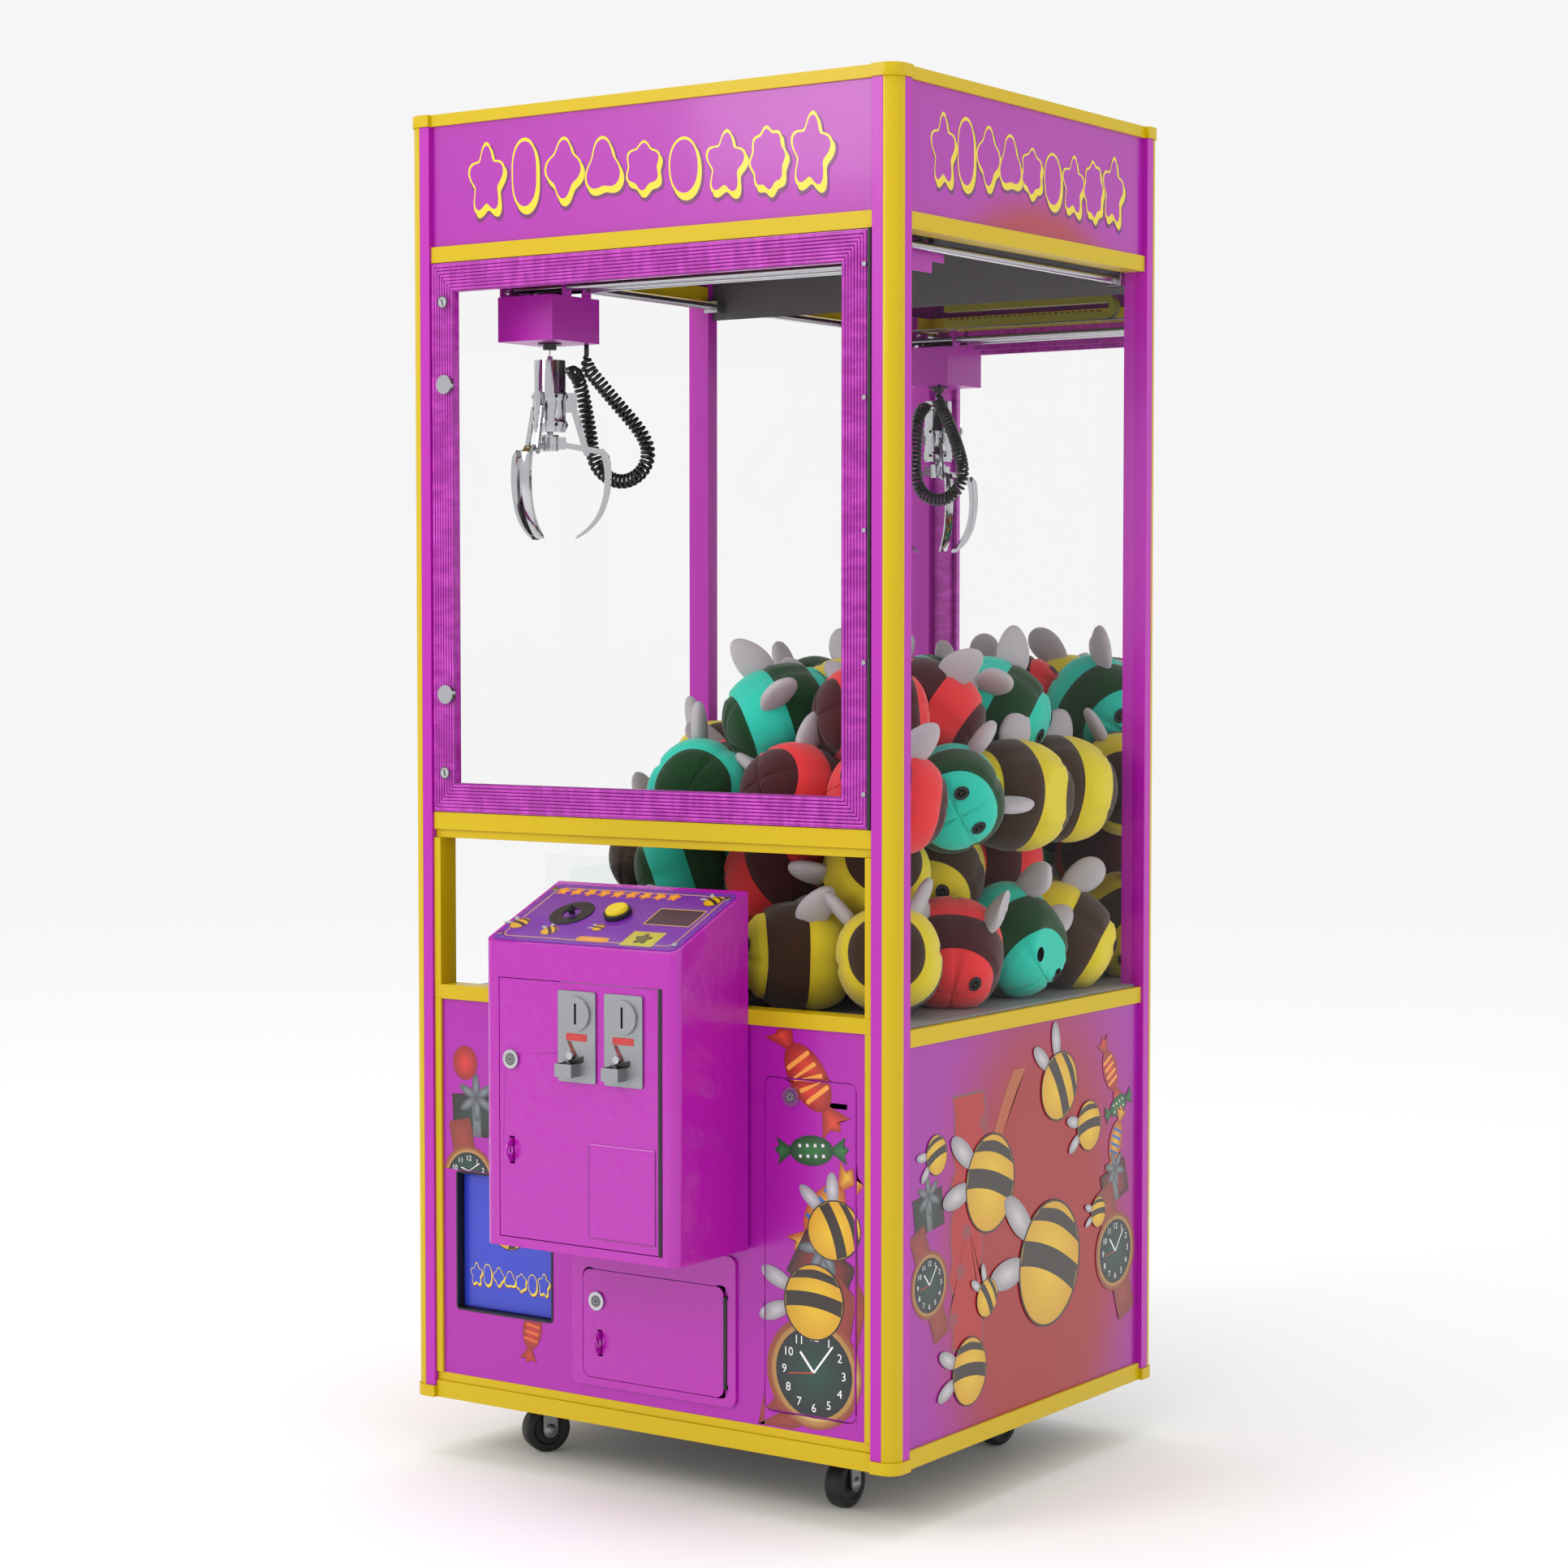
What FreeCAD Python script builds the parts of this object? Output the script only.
import FreeCAD, Part

import math
import os
import re

import Sketcher
from FreeCAD import Placement, Rotation, Vector

# Claw crane machine, in millimetres, +Z up. The front of the cabinet faces -Y. The origin lies on the
# floor under the middle of the whole machine, with the control box and its coin cups counted in.

SIZES = {
    # cabinet and its corner posts
    "cabinet_width": 800,
    "cabinet_depth": 690,
    "cabinet_height": 1778,
    "caster_height": 86,
    "post_side": 36.8,
    "strip_radius": 20.2,
    "strip_wall": 3,
    "cap_height": 16.2,
    "cap_proud": 2,
    # rails, trims and sheets
    "trim_recess": 4,
    "panel_recess": 8,
    "sheet_wall": 3,
    "base_rail_height": 24,
    "base_trim_height": 12,
    "low_rail_level": 560.5,
    "low_rail_height": 20,
    "lower_window_height": 204,
    "step_height": 11.5,
    "step_recess": 9,
    "mid_rail_height": 24,
    "header_rail_height": 22,
    "header_height": 164.3,
    "top_trim_height": 16.2,
    "upright_width": 11.5,
    "side_rail_level": 542,
    "side_rail_height": 22.5,
    "ceiling_drop": 70,
    "roof_sink": 2,
    # panes and mirror
    "glass_recess": 10,
    "glass_wall": 5,
    "lower_glass_wall": 4,
    "mirror_setback": 25,
    "mirror_wall": 4,
    "mirror_top_level": 1547,
    "board_wall": 6,
    # window door
    "door_gap": 1,
    "hinge_gap": 0.3,
    "door_wall": 22,
    "door_recess": 2,
    "door_frame_width": 40,
    "hinge_width": 6,
    "hinge_knuckle": 2.8,
    "pane_rebate": 8,
    "pane_wall": 4,
    "pane_slack": 0.5,
    "door_lock_radius": 13,
    "door_lock_proud": 7,
    "door_lock_inset": 28,
    "door_lock_high": 588,
    "door_lock_low": 163,
    # prize deck, chute and guard
    "deck_wall": 3,
    "chute_left": 352,
    "chute_right": 157,
    "chute_front": 45,
    "chute_back": 235,
    "chute_wall": 2,
    "chute_ramp_rise": 40,
    "chute_slack": 0.5,
    "guard_wall": 4,
    "guard_height": 180,
    # prize flap in its frame
    "flap_left": 329,
    "flap_right": 157.5,
    "flap_level": 127,
    "flap_height": 195,
    "flap_rim": 3,
    "flap_corner": 6,
    "flap_sink": 14,
    "flap_wall": 4,
    "flap_slack": 1,
    "flap_pin_radius": 2.5,
    "flap_frame_depth": 28,
    # control box
    "box_left": 142,
    "box_right": 171,
    "box_depth": 154,
    "box_nose": 20,
    "box_level": 266,
    "box_back_level": 732,
    "box_front_level": 665,
    "box_corner": 14,
    "box_wall": 2,
    # control panel on the slope, measured from the panel's lower front edge
    "overlay_wall": 1,
    "overlay_margin": 6,
    "overlay_corner": 12,
    "joystick_x": -55,
    "joystick_up": 84,
    "button_x": 19,
    "button_up": 87.5,
    "panel_hole_radius": 13,
    "dust_disc_radius": 31,
    "dust_disc_wall": 1.6,
    "collar_radius": 18.8,
    "collar_height": 7,
    "button_radius": 16.3,
    "button_height": 13,
    "button_depth": 22,
    "button_slack": 0.4,
    "stick_radius": 4,
    "stick_above": 14,
    "stick_below": 34,
    "hub_radius": 6,
    "hub_height": 4,
    "pivot_depth": 22,
    "gimbal_side": 30,
    "gimbal_wall": 5,
    "gimbal_height": 10,
    "housing_side": 52,
    "housing_wall": 4,
    "housing_depth": 34,
    "pivot_gap": 0.4,
    "screw_radius": 4.2,
    "screw_height": 2.4,
    "hinge_screw_radius": 3,
    "hinge_screw_height": 2,
    "hinge_screw_inset": 4,
    "hinge_screw_end": 45,
    "hinge_screw_count": 5,
    "screw_inset_side": 14.5,
    "screw_inset_front": 20,
    "screw_inset_back": 23,
    # coin door on the box front
    "coin_door_left": 116,
    "coin_door_right": 143.5,
    "coin_door_level": 279,
    "coin_door_height": 339.5,
    "coin_door_wall": 2.5,
    "plate_width": 61,
    "plate_height": 118,
    "plate_wall": 3,
    "plate_level": 490.7,
    "plate_one_x": -16,
    "plate_two_x": 59.4,
    "plate_disc_radius": 22,
    "plate_disc_up": 89,
    "slot_width": 3.4,
    "slot_height": 27,
    "cup_width": 27,
    "cup_height": 17,
    "cup_up": 8,
    "cup_wall": 1.6,
    "reject_right": 23,
    "reject_up": 35,
    "reject_radius": 5,
    "reject_proud": 9,
    "reject_slack": 0.4,
    "mech_width": 54,
    "mech_depth": 62,
    "mech_height": 112,
    "cover_left": 32.5,
    "cover_right": 138.6,
    "cover_level": 291,
    "cover_height": 122,
    "cover_wall": 1.2,
    # barrel locks and padlock staples
    "lock_radius": 9,
    "lock_face_radius": 12.5,
    "lock_face_wall": 4,
    "lock_length": 22,
    "lock_slack": 0.4,
    "cam_length": 24,
    "cam_width": 12,
    "cam_wall": 2,
    "coin_lock_x": -95,
    "coin_lock_level": 513,
    "staple_radius": 16,
    "staple_wall": 4,
    "staple_hole": 6,
    "staple_x": -95.5,
    "staple_level": 393.5,
    "staple_slot_width": 8,
    # cash door
    "surround_left": 121.7,
    "surround_right": 150.3,
    "surround_level": 53,
    "surround_height": 200,
    "surround_wall": 4,
    "surround_corner": 12,
    "cash_left": 103.5,
    "cash_right": 131,
    "cash_level": 64.5,
    "cash_height": 146.5,
    "cash_corner": 12,
    "cash_lock_x": -78,
    "cash_lock_level": 169,
    "cash_staple_x": -74,
    "cash_staple_level": 112,
    # access door
    "access_left": 194.3,
    "access_width": 142.2,
    "access_level": 58,
    "access_height": 437.3,
    "access_corner": 10,
    "access_lock_x": 237,
    "access_lock_level": 471.4,
    "access_slot_left": 278.5,
    "access_slot_width": 44,
    "access_slot_height": 7,
    "access_slot_level": 461,
    "access_knuckle": 1,
    "access_knuckle_inset": 0.35,
    "access_knuckle_proud": 0.8,
    # gantry rails and bridge
    "side_rail_x": 350,
    "side_rail_radius": 5.5,
    "side_rail_height_level": 1566,
    "bracket_length": 22,
    "bracket_height": 18,
    "bracket_wall": 6,
    "cross_rail_radius": 5,
    "cross_rail_level": 1546,
    "cross_rail_spread": 22,
    "carriage_x": 334,
    "carriage_wall": 3,
    "carriage_half": 32,
    "carriage_low": 1536,
    "carriage_high": 1592,
    "roller_radius": 6.5,
    "roller_width": 9,
    "roller_spread": 13,
    "roller_pin_radius": 2.5,
    "roller_gap": 0.3,
    # trolley and hoist
    "claw_x": -273.4,
    "claw_setback": 152,
    "trolley_left": 47.5,
    "trolley_right": 49,
    "trolley_ahead": 55.5,
    "trolley_behind": 50,
    "trolley_low": 1472,
    "trolley_height": 62,
    "trolley_wall": 2,
    "trolley_roller_radius": 6,
    "trolley_roller_width": 8,
    "hanger_height": 88,
    "gland_radius": 16.5,
    "gland_wall": 2,
    "gland_neck_radius": 9.5,
    "gland_neck": 7,
    "gland_bore": 2,
    "drum_radius": 16,
    "drum_length": 34,
    "motor_radius": 14,
    "motor_length": 24,
    # claw
    "claw_top_drop": 24,
    "coil_radius": 22,
    "coil_height": 100,
    "coil_bore": 5,
    "collar_ring_radius": 24,
    "collar_ring_height": 11.5,
    "upper_ring_drop": 44.6,
    "lower_ring_drop": 84,
    "cable_radius": 1,
    "eye_radius": 4,
    "eye_height": 6,
    "lug_reach": 38,
    "lug_wall": 4,
    "lug_drop": 72,
    "link_top_reach": 33.7,
    "link_top_drop": 66,
    "link_low_reach": 51.8,
    "link_low_drop": 128,
    "link_half": 4.5,
    "link_wall": 2.5,
    "link_gap": 0.4,
    "pin_radius": 2.5,
    "plunger_drop": 103.6,
    "plunger_height": 22.6,
    "plunger_radius": 12,
    "rod_radius": 4.4,
    "rod_length": 30,
    "clevis_reach": 22,
    "clevis_wall": 2.7,
    "clevis_gap": 0.3,
    "finger_pivot_reach": 17,
    "finger_pivot_drop": 117,
    "finger_arm_wall": 4,
    "finger_arm_half": 4,
    "finger_blade_width": 12,
    # cord and cable chain
    "cord_radius": 10.6,
    "relief_radius": 3.4,
    "relief_length": 16,
    "cord_gland_radius": 4.5,
    "shelf_wall": 2,
    "chain_height": 12,
    "chain_width": 16,
    "chain_low": 1562,
    "chain_turn_radius": 7,
    "chain_right": 75,
    "chain_behind": 62,
    # casters
    "caster_x": 247,
    "caster_y": 198,
    "caster_plate_side": 62,
    "caster_plate_wall": 3,
    "race_radius": 21,
    "race_height": 4,
    "race_gap": 0.4,
    "caster_trail": 30,
    "wheel_radius": 33,
    "wheel_width": 28,
    "wheel_round": 7,
    "wheel_dish_radius": 20,
    "wheel_dish_depth": 3,
    "fork_wall": 3,
    "fork_gap": 1.5,
    "fork_leg_half": 10.5,
    "axle_radius": 4,
    "axle_slack": 0.3,
    "bolt_radius": 9,
    "bolt_height": 5,
    # plush toys, stacked like balls in a box
    "toy_radius": 74,
    "toy_pitch": 150,
    "toy_layer": 103.8,
    "toy_right": 310,
    "toy_back": 560,
    "toy_layers": 4,
    "toy_slope": 0.55,
    # power supply on the base plate, mains inlet in the back sheet
    "base_plate_wall": 4,
    "supply_length": 190,
    "supply_width": 110,
    "supply_height": 80,
    "inlet_x": -260,
    "inlet_level": 90,
    "inlet_width": 28,
    "inlet_height": 48,
    "inlet_depth": 18,
    "inlet_flange": 5,
}

# Places worked out from the sizes.
LEVELS = {
    "middle": "(box_depth + box_nose - cap_proud) / 2",
    "half_width": "cabinet_width / 2",
    "front": "middle - cabinet_depth / 2",
    "back": "middle + cabinet_depth / 2",
    "inner_x": "half_width - post_side",
    "span_x": "cabinet_width - 2 * post_side",
    "span_y": "cabinet_depth - 2 * post_side",
    "rail_depth": "post_side - trim_recess",
    "rear_run": "cabinet_depth - post_side - trim_recess - board_wall",
    "base": "caster_height",
    "top": "caster_height + cabinet_height",
    "header_rail_z": "top - top_trim_height - header_height - header_rail_height",
    "header_z": "header_rail_z + header_rail_height",
    "low_rail_z": "base + low_rail_level",
    "window_z": "low_rail_z + low_rail_height",
    "step_z": "window_z + lower_window_height",
    "mid_rail_z": "step_z + step_height",
    "door_z": "mid_rail_z + mid_rail_height",
    "side_low_z": "base + side_rail_level",
    "deck_z": "side_low_z + side_rail_height",
    "deck_top": "deck_z + deck_wall",
    "ceiling_z": "top - ceiling_drop",
    "mirror_y": "back - mirror_setback",
    "trim_z": "base + base_rail_height + base_trim_height",
    "door_front": "front + door_recess",
    "door_left_x": "-inner_x + door_gap",
    "door_right_x": "inner_x - hinge_width - door_gap - hinge_gap",
    "door_height": "header_rail_z - door_z",
    "panel_y": "front + panel_recess",
    "box_front": "front - box_depth",
    "box_middle": "(box_right - box_left) / 2",
    "slope_run": "box_depth",
    "slope_rise": "box_back_level - box_front_level",
    "slope_length": "sqrt(slope_run * slope_run + slope_rise * slope_rise)",
    "claw_y": "front + claw_setback",
    "claw_top": "base + trolley_low - claw_top_drop",
}


def rule(text):
    """Turns a formula written with size and place names into a document expression."""

    def swap(found):
        word = found.group(0)
        if word in LEVELS:
            return "(" + rule(LEVELS[word]) + ")"
        if word in SIZES:
            return "Sizes." + word
        return word

    return re.sub(r"[a-z][a-z_0-9]*", swap, text)


doc = FreeCAD.newDocument("claw_crane_machine")
sheet = doc.addObject("Spreadsheet::Sheet", "Sizes")
for row, (alias, number) in enumerate(SIZES.items(), start=1):
    sheet.set(f"A{row}", alias)
    sheet.set(f"B{row}", str(number))
    sheet.setAlias(f"B{row}", alias)
doc.recompute()

subparts = []


def keep(piece, label):
    """Marks a document object as one sub-part of the machine."""
    piece.Label = label
    subparts.append(piece)
    return piece


def bind(piece, **formulas):
    """Binds properties of a piece to formulas; __ in a name stands for a dot."""
    for name, text in formulas.items():
        piece.setExpression(name.replace("__", "."), rule(text))
    return piece


def put(piece, x="0", y="0", z="0"):
    """Binds the place of a piece."""
    return bind(piece, Placement__Base__x=x, Placement__Base__y=y, Placement__Base__z=z)


def block(name, low, lengths):
    """Box from its low corner and its three lengths."""
    box = doc.addObject("Part::Box", name)
    bind(box, Length=lengths[0], Width=lengths[1], Height=lengths[2])
    return put(box, *low)


TURNS = {
    "X": Rotation(Vector(0, 1, 0), 90),
    "Y": Rotation(Vector(1, 0, 0), -90),
    "Z": Rotation(),
}


def rod(name, start, radius, length, along="Z"):
    """Round bar from the middle of its first end, along +X, +Y or +Z."""
    bar = doc.addObject("Part::Cylinder", name)
    bar.Placement = Placement(Vector(), TURNS[along])
    bind(bar, Radius=radius, Height=length)
    return put(bar, *start)


def less(name, base, *tools):
    """The base with the tools cut away."""
    for number, tool in enumerate(tools):
        cut = doc.addObject("Part::Cut", f"{name}_cut{number}")
        cut.Base = base
        cut.Tool = tool
        base = cut
    return base


def joined(name, pieces):
    """Pieces fused into one solid."""
    fuse = doc.addObject("Part::MultiFuse", name)
    fuse.Shapes = pieces
    fuse.Refine = True
    return fuse


def together(label, pieces):
    """Separate solids kept as one sub-part."""
    group = doc.addObject("Part::Compound", label)
    group.Links = pieces
    return keep(group, label)


def lay_on_slope(piece):
    """Moves a piece from the panel's own frame to the sloping top of the control box.

    In the panel's frame X is the machine's X, Y runs up the slope from its lower edge and Z is its normal."""
    piece.Placement = Placement(Vector(), Rotation(Vector(1, 0, 0), 10))
    bind(piece, Placement__Rotation__Angle="atan(slope_rise / slope_run)")
    return put(piece, "0", "box_front", "base + box_front_level")


def prism(name, points, width, start):
    """Straight solid along X: an outline of (y, z) corners padded from X = start over the width."""
    body = doc.addObject("PartDesign::Body", name)
    sketch = body.newObject("Sketcher::SketchObject", name + "_outline")
    plane = [part for part in body.Origin.OriginFeatures if part.Role == "YZ_Plane"][0]
    sketch.AttachmentSupport = (plane, [""])
    sketch.MapMode = "FlatFace"
    count = len(points)
    ring = [
        Vector(100 * math.cos(2 * math.pi * turn / count), 100 * math.sin(2 * math.pi * turn / count), 0)
        for turn in range(count)
    ]
    for side in range(count):
        sketch.addGeometry(Part.LineSegment(ring[side], ring[(side + 1) % count]))
    for side in range(count):
        sketch.addConstraint(Sketcher.Constraint("Coincident", side, 2, (side + 1) % count, 1))
    for side, (y, z) in enumerate(points):
        for way, start_value, text in (("DistanceX", ring[side].x, y), ("DistanceY", ring[side].y, z)):
            place = sketch.addConstraint(Sketcher.Constraint(way, -1, 1, side, 1, start_value))
            sketch.renameConstraint(place, f"{way}_{side}")
            sketch.setExpression(f"Constraints.{way}_{side}", rule(text))
    pad = body.newObject("PartDesign::Pad", name + "_pad")
    pad.Profile = sketch
    bind(pad, Length=width)
    return put(body, start)


def rounded_plate(name, low, lengths, corner, along="Y"):
    """Plate with four round corners, thin along Y or Z."""
    x, y, z = low
    lx, ly, lz = lengths
    if along == "Y":
        pieces = [
            block(f"{name}_wide", (x, y, f"{z} + {corner}"), (lx, ly, f"{lz} - 2 * {corner}")),
            block(f"{name}_tall", (f"{x} + {corner}", y, z), (f"{lx} - 2 * {corner}", ly, lz)),
        ]
        ends = [(u, y, v) for u in (f"{x} + {corner}", f"{x} + {lx} - {corner}")
                for v in (f"{z} + {corner}", f"{z} + {lz} - {corner}")]
        pieces += [rod(f"{name}_end{n}", end, corner, ly, "Y") for n, end in enumerate(ends)]
    else:
        pieces = [
            block(f"{name}_wide", (x, f"{y} + {corner}", z), (lx, f"{ly} - 2 * {corner}", lz)),
            block(f"{name}_tall", (f"{x} + {corner}", y, z), (f"{lx} - 2 * {corner}", ly, lz)),
        ]
        ends = [(u, v, z) for u in (f"{x} + {corner}", f"{x} + {lx} - {corner}")
                for v in (f"{y} + {corner}", f"{y} + {ly} - {corner}")]
        pieces += [rod(f"{name}_end{n}", end, corner, lz) for n, end in enumerate(ends)]
    return joined(name, pieces)


CORNERS = [(1, 1, 0), (-1, 1, 90), (-1, -1, 180), (1, -1, 270)]


def corner_low(sign, axis, length, inset="0"):
    """Low edge, along the X or Y axis, of a square of the given length in a corner of the plan."""
    high_wall = "half_width" if axis == "x" else "back"
    low_wall = "-half_width" if axis == "x" else "front"
    return f"{high_wall} - {inset} - {length}" if sign > 0 else f"{low_wall} + {inset}"


def make_posts():
    """Four L-section corner posts, notched on the outside for the round corner strips."""
    posts = []
    for sign_x, sign_y, turn in CORNERS:
        height = "cabinet_height - 2 * cap_height"
        square = block(
            f"post_{turn}",
            (corner_low(sign_x, "x", "post_side"), corner_low(sign_y, "y", "post_side"), "base + cap_height"),
            ("post_side", "post_side", height),
        )
        notch = block(
            f"post_notch_{turn}",
            (corner_low(sign_x, "x", "strip_radius"), corner_low(sign_y, "y", "strip_radius"), "base + cap_height"),
            ("strip_radius", "strip_radius", height),
        )
        posts.append(less(f"post_section_{turn}", square, notch))
    together("corner_posts", posts)


def quarter(name, sign_x, sign_y, turn, radius, low, height):
    """Quarter of a round bar whose middle is the inner corner of a post's notch."""
    bar = doc.addObject("Part::Cylinder", name)
    bar.Angle = 90
    bar.Placement = Placement(Vector(), Rotation(Vector(0, 0, 1), turn))
    bind(bar, Radius=radius, Height=height)
    x = "half_width - strip_radius" if sign_x > 0 else "-half_width + strip_radius"
    y = "back - strip_radius" if sign_y > 0 else "front + strip_radius"
    return put(bar, x, y, low)


def make_corner_trims():
    """Quarter-round strips along the posts, and a cap at the top and foot of each."""
    trims = []
    side = "(post_side + cap_proud)"
    core = "(post_side - strip_radius)"
    for sign_x, sign_y, turn in CORNERS:
        outer = quarter(f"strip_{turn}", sign_x, sign_y, turn, "strip_radius", "base + cap_height",
                        "cabinet_height - 2 * cap_height")
        inner = quarter(f"strip_core_{turn}", sign_x, sign_y, turn, "strip_radius - strip_wall",
                        "base + cap_height", "cabinet_height - 2 * cap_height")
        trims.append(less(f"strip_section_{turn}", outer, inner))
        for end, low in (("foot", "base"), ("head", "top - cap_height")):
            core_x = "half_width - post_side" if sign_x > 0 else "-half_width + strip_radius"
            core_y = "back - post_side" if sign_y > 0 else "front + strip_radius"
            edge_x = "half_width - post_side" if sign_x > 0 else "-half_width - cap_proud"
            edge_y = "back - post_side" if sign_y > 0 else "front - cap_proud"
            name = f"cap_{end}_{turn}"
            trims.append(joined(name, [
                block(name + "_a", (edge_x, core_y, low), (side, core, "cap_height")),
                block(name + "_b", (core_x, edge_y, low), (core, side, "cap_height")),
                quarter(name + "_c", sign_x, sign_y, turn, "strip_radius + cap_proud", low, "cap_height"),
            ]))
    together("corner_trims", trims)


def make_frame_rails():
    """Straight rails and trims between the posts on all four sides."""
    rails = []
    front_rails = {
        "front_base": ("base", "base_rail_height", "trim_recess"),
        "front_low": ("low_rail_z", "low_rail_height", "trim_recess"),
        "front_step": ("step_z", "step_height", "step_recess"),
        "front_mid": ("mid_rail_z", "mid_rail_height", "trim_recess"),
        "front_header": ("header_rail_z", "header_rail_height", "trim_recess"),
        "front_top": ("top - top_trim_height", "top_trim_height", "trim_recess"),
        "front_trim": ("base + base_rail_height", "base_trim_height", "panel_recess - 1"),
    }
    for name, (low, height, recess) in front_rails.items():
        rails.append(block(name, ("-inner_x", f"front + {recess}", low),
                           ("span_x", f"post_side - ({recess})", height)))
    for name, low, height in (
        ("back_base", "base", "base_rail_height"),
        ("back_header", "header_rail_z", "header_rail_height"),
        ("back_top", "top - top_trim_height", "top_trim_height"),
    ):
        rails.append(block(name, ("-inner_x", "back - trim_recess - board_wall", low),
                           ("span_x", "board_wall", height)))
    for side, low_x in (("left", "-half_width + trim_recess"), ("right", "inner_x")):
        for name, low, height in (
            ("base", "base", "base_rail_height"),
            ("low", "side_low_z", "side_rail_height"),
            ("header", "header_rail_z", "header_rail_height"),
            ("top", "top - top_trim_height", "top_trim_height"),
        ):
            rails.append(block(f"{side}_{name}", (low_x, "front + post_side", low),
                               ("rail_depth", "span_y", height)))
    for side, low_x in (("left", "-inner_x"), ("right", "inner_x - upright_width")):
        rails.append(block(f"upright_low_{side}", (low_x, "front + trim_recess", "trim_z"),
                           ("upright_width", "rail_depth", "low_rail_z - (trim_z)")))
        rails.append(block(f"upright_high_{side}", (low_x, "front + trim_recess", "window_z"),
                           ("upright_width", "rail_depth", "lower_window_height")))
    together("frame_rails", rails)


def make_panels():
    """Printed header panels, lower side panels, and the roof, ceiling and back sheets."""
    headers = [block("header_front", ("-inner_x", "panel_y", "header_z"),
                     ("span_x", "sheet_wall", "header_height"))]
    sides = []
    for side, low_x in (("left", "-half_width + panel_recess"), ("right", "half_width - panel_recess - sheet_wall")):
        headers.append(block(f"header_{side}", (low_x, "front + post_side", "header_z"),
                             ("sheet_wall", "span_y", "header_height")))
        sides.append(block(f"panel_{side}", (low_x, "front + post_side", "base + base_rail_height"),
                           ("sheet_wall", "span_y", "side_low_z - (base + base_rail_height)")))
    together("header_panels", headers)
    together("side_panels", sides)
    back_sheet = block("back_sheet_plain", ("-inner_x", "back - trim_recess - board_wall", "base + base_rail_height"),
                       ("span_x", "sheet_wall", "header_rail_z - (base + base_rail_height)"))
    inlet_hole = block("inlet_hole", ("inlet_x", "back - 3 * board_wall", "base + inlet_level"),
                       ("inlet_width", "4 * board_wall", "inlet_height"))
    together("shell_sheets", [
        block("roof", ("-inner_x", "front + post_side", "top - roof_sink - sheet_wall"),
              ("span_x", "rear_run", "sheet_wall")),
        block("ceiling", ("-inner_x", "front + post_side", "ceiling_z"),
              ("span_x", "mirror_y - front - post_side", "sheet_wall")),
        block("header_back", ("-inner_x", "back - trim_recess - board_wall", "header_z"),
              ("span_x", "sheet_wall", "header_height")),
        block("back_board", ("-inner_x", "mirror_y", "base + mirror_top_level"),
              ("span_x", "board_wall", "ceiling_z - (base + mirror_top_level)")),
        less("back_sheet", back_sheet, inlet_hole),
    ])


def make_panes():
    """Clear side panes, lower front pane, the mirror wall and the window over the play field."""
    side_height = "header_rail_z - (deck_z)"
    panes = [
        block("pane_left", ("-half_width + glass_recess", "front + post_side", "deck_z"),
              ("glass_wall", "span_y", side_height)),
        block("pane_right", ("half_width - glass_recess - glass_wall", "front + post_side", "deck_z"),
              ("glass_wall", "span_y", side_height)),
        block("pane_low", ("-inner_x + upright_width", "front + step_recess + glass_wall", "window_z"),
              ("span_x - 2 * upright_width", "lower_glass_wall", "lower_window_height")),
    ]
    together("fixed_windows", panes)
    keep(block("mirror", ("-inner_x", "mirror_y", "deck_top"),
               ("span_x", "mirror_wall", "base + mirror_top_level - (deck_top)")), "mirror_panel")


def make_front_panel():
    """Printed sheet under the play field, cut out for the prize flap, the cash door and the access door."""
    sheet_piece = block("front_sheet", ("-inner_x + upright_width", "panel_y", "trim_z"),
                        ("span_x - 2 * upright_width", "sheet_wall", "low_rail_z - (trim_z)"))
    deep = ("front", "4 * panel_recess")
    flap_hole = rounded_plate("flap_hole", ("-flap_left", deep[0], "base + flap_level"),
                              ("flap_left - flap_right", deep[1], "flap_height"), "flap_corner")
    cash_hole = block("cash_hole", ("-cash_left", deep[0], "base + cash_level - door_gap"),
                      ("cash_left + cash_right", deep[1], "cash_height + 2 * door_gap"))
    access_hole = rounded_plate("access_hole", ("access_left", deep[0], "base + access_level"),
                                ("access_width", deep[1], "access_height"), "access_corner")
    box_hole = block("box_hole", ("-box_left + 4 * box_wall", deep[0], "base + box_level + 4 * box_wall"),
                     ("box_left + box_right - 8 * box_wall", deep[1], "low_rail_level - box_level"))
    keep(less("front_cuts", sheet_piece, flap_hole, cash_hole, access_hole, box_hole), "front_panel")


def make_base():
    """Base plate between the base rails, with the power supply on it and the mains inlet at the back."""
    keep(block("floor", ("-inner_x", "front + post_side", "base"), ("span_x", "rear_run", "base_plate_wall")),
         "base_plate")
    inlet_y = "back - trim_recess - inlet_depth"
    together("power_supply", [
        block("supply_case", ("inlet_x", "back - 3 * post_side - supply_width", "base + base_plate_wall"),
              ("supply_length", "supply_width", "supply_height")),
        joined("inlet", [
            block("inlet_body", ("inlet_x", inlet_y, "base + inlet_level"),
                  ("inlet_width", "inlet_depth", "inlet_height")),
            block("inlet_rim", ("inlet_x - inlet_flange", "back - trim_recess - board_wall + sheet_wall",
                                "base + inlet_level - inlet_flange"),
                  ("inlet_width + 2 * inlet_flange", "sheet_wall", "inlet_height + 2 * inlet_flange")),
        ]),
    ])


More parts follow.
